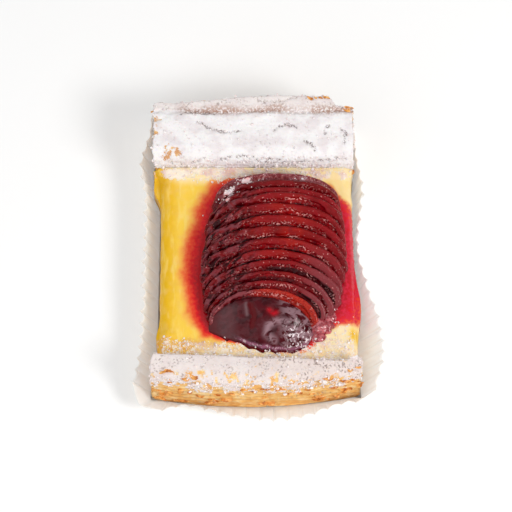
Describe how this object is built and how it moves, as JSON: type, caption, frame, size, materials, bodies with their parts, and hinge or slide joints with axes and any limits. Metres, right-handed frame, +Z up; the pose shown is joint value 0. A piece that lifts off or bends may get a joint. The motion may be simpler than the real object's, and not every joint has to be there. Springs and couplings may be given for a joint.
{
  "type": "fruit tart slice",
  "caption": "Rectangular cut slice of puff-pastry tart with two raised sugared borders, pastry cream and a fanned, sliced poached fruit half, in a pleated paper case.",
  "frame": {"origin": "middle of the bottom of the bounding box, under the paper case", "axes": "+Y from the narrow front border to the wide back border, +X to the right seen from the front, +Z up"},
  "size_m": [0.1014, 0.1388, 0.0314],
  "materials": {
    "case_paper": "thin greaseproof paper, pleated, slightly translucent",
    "sugared_pastry": "stands for baked puff pastry under icing sugar, matte and flaky",
    "pastry_cream": "stands for pastry cream, soft sheen, stained red beside the fruit",
    "poached_fruit": "stands for poached fruit flesh, wet and glazed",
    "fruit_skin": "stands for the dark outer side of poached fruit, very glossy"
  },
  "bodies": {
    "root": {"paper_case": "case_paper", "pastry_shell": "sugared_pastry", "custard": "pastry_cream", "fruit_slice_01": "poached_fruit", "fruit_slice_02": "poached_fruit", "fruit_slice_03": "poached_fruit", "fruit_slice_04": "poached_fruit", "fruit_slice_05": "poached_fruit", "fruit_slice_06": "poached_fruit", "fruit_slice_07": "poached_fruit", "fruit_slice_08": "poached_fruit", "fruit_slice_09": "poached_fruit", "fruit_slice_10": "poached_fruit", "fruit_slice_11": "poached_fruit", "fruit_slice_12": "poached_fruit", "fruit_slice_13": "poached_fruit", "fruit_cap": "fruit_skin"}
  },
  "joints": []
}
